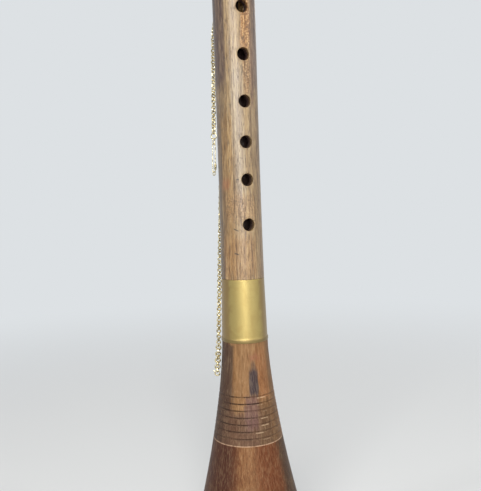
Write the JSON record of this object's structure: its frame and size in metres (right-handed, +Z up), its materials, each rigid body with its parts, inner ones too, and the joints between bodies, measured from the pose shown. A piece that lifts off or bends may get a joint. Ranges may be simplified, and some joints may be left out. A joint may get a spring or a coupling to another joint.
{
  "type": "zurna",
  "caption": "Wooden double-reed shawm on a flared bell, with a brass joint band, finger holes, fork, staple, lip disc, cane reed and hanging fine chains.",
  "frame": {"origin": "centre of the bell's mouth, on the surface that the instrument stands on", "axes": "+Z up the bore towards the reed; the finger holes face -Y and the thumb hole faces +Y"},
  "size_m": [0.074, 0.074, 0.4575],
  "materials": {
    "tube_wood": "oiled walnut, worn satin, with pores and light streaks along the grain",
    "bell_wood": "oiled red-brown walnut, satin, turned grooves",
    "fork_wood": "turned boxwood, satin",
    "band_brass": "satin, fine turning lines, dulled",
    "staple_brass": "satin",
    "chain_metal": "bright gilt wire",
    "lapping": "waxed red thread",
    "cane": "golden cane with fine fibres, scraped at the tip"
  },
  "bodies": {
    "bell": {"bell": "bell_wood", "bell_band": "band_brass"},
    "tube": {"body_tube": "tube_wood", "tenon_lapping": "lapping", "head_collar": "band_brass", "chain_eye": "band_brass"},
    "fork": {"fork_insert": "fork_wood"},
    "staple": {"staple_tube": "staple_brass", "staple_lapping": "lapping"},
    "disc": {"lip_disc": "staple_brass"},
    "reed": {"reed": "cane", "reed_binding": "lapping"},
    "ring": {"chain_ring": "chain_metal"},
    "run_a": {"strand_a_upper": "chain_metal"},
    "run_a_low": {"strand_a_lower": "chain_metal"},
    "jump_ring": {"pin_ring": "chain_metal", "pin_link": "chain_metal"},
    "pin": {"pin_loop": "chain_metal", "pin_sleeve": "chain_metal"},
    "end_ring": {"pin_end_ring": "chain_metal"},
    "run_b": {"strand_b_upper": "chain_metal"},
    "run_b_low": {"strand_b_lower": "chain_metal"},
    "run_b_end": {"strand_b_end": "chain_metal"},
    "clasp": {"clasp_ring": "chain_metal"},
    "lever": {"clasp_lever": "chain_metal"}
  },
  "joints": [
    {"name": "tube_pull", "type": "slide", "parent": "bell", "child": "tube", "axis": [0, 0, 1], "range_m": [0, 0.03]},
    {"name": "fork_turn", "type": "hinge", "parent": "tube", "child": "fork", "pos_m": [0, 0, 0.396], "axis": [0, 0, 1], "range_deg": [-25, 25]},
    {"name": "staple_pull", "type": "slide", "parent": "fork", "child": "staple", "axis": [0, 0, 1], "range_m": [0, 0.027]},
    {"name": "disc_lift", "type": "slide", "parent": "staple", "child": "disc", "axis": [0, 0, 1], "range_m": [0, 0.008]},
    {"name": "reed_pull", "type": "slide", "parent": "staple", "child": "reed", "axis": [0, 0, 1], "range_m": [0, 0.011]},
    {"name": "ring_swing", "type": "hinge", "parent": "tube", "child": "ring", "pos_m": [-0.00268, 0.01521, 0.38594], "axis": [0.9848, 0.1736, 0], "range_deg": [0, 60]},
    {"name": "run_a_swing", "type": "hinge", "parent": "ring", "child": "run_a", "pos_m": [-0.00416, 0.01495, 0.37823], "axis": [0.9848, 0.1736, 0], "range_deg": [0, 30]},
    {"name": "run_a_bend", "type": "hinge", "parent": "run_a", "child": "run_a_low", "pos_m": [-0.00759, 0.01325, 0.30238], "axis": [0.8678, 0.497, 0], "range_deg": [0, 60]},
    {"name": "jump_ring_swing", "type": "hinge", "parent": "run_a_low", "child": "jump_ring", "pos_m": [-0.00925, 0.01366, 0.24578], "axis": [0.8281, 0.5606, 0], "range_deg": [0, 45]},
    {"name": "pin_swing", "type": "hinge", "parent": "jump_ring", "child": "pin", "pos_m": [-0.00941, 0.01373, 0.24], "axis": [0.8281, 0.5606, 0], "range_deg": [0, 60]},
    {"name": "end_ring_swing", "type": "hinge", "parent": "pin", "child": "end_ring", "pos_m": [-0.00983, 0.0139, 0.2241], "axis": [-0.5606, 0.8281, 0], "range_deg": [-45, 45]},
    {"name": "run_b_swing", "type": "hinge", "parent": "ring", "child": "run_b", "pos_m": [-0.00121, 0.01548, 0.37823], "axis": [0.9848, 0.1736, 0], "range_deg": [0, 30]},
    {"name": "run_b_bend", "type": "hinge", "parent": "run_b", "child": "run_b_low", "pos_m": [-0.00453, 0.01378, 0.24538], "axis": [0.95, 0.3123, 0], "range_deg": [0, 60]},
    {"name": "run_b_end_bend", "type": "hinge", "parent": "run_b_low", "child": "run_b_end", "pos_m": [-0.01275, 0.0094, 0.12338], "axis": [0.5934, 0.8049, 0], "range_deg": [0, 35]},
    {"name": "clasp_swing", "type": "hinge", "parent": "run_b_end", "child": "clasp", "pos_m": [-0.01414, 0.00937, 0.10856], "axis": [0.5519, 0.8339, 0], "range_deg": [0, 30]},
    {"name": "clasp_open", "type": "hinge", "parent": "clasp", "child": "lever", "pos_m": [-0.01414, 0.00937, 0.10802], "axis": [-0.5519, -0.8339, 0], "range_deg": [0, 55], "stiffness_Nm_per_rad": 0.0002, "springref_deg": -17.19}
  ]
}
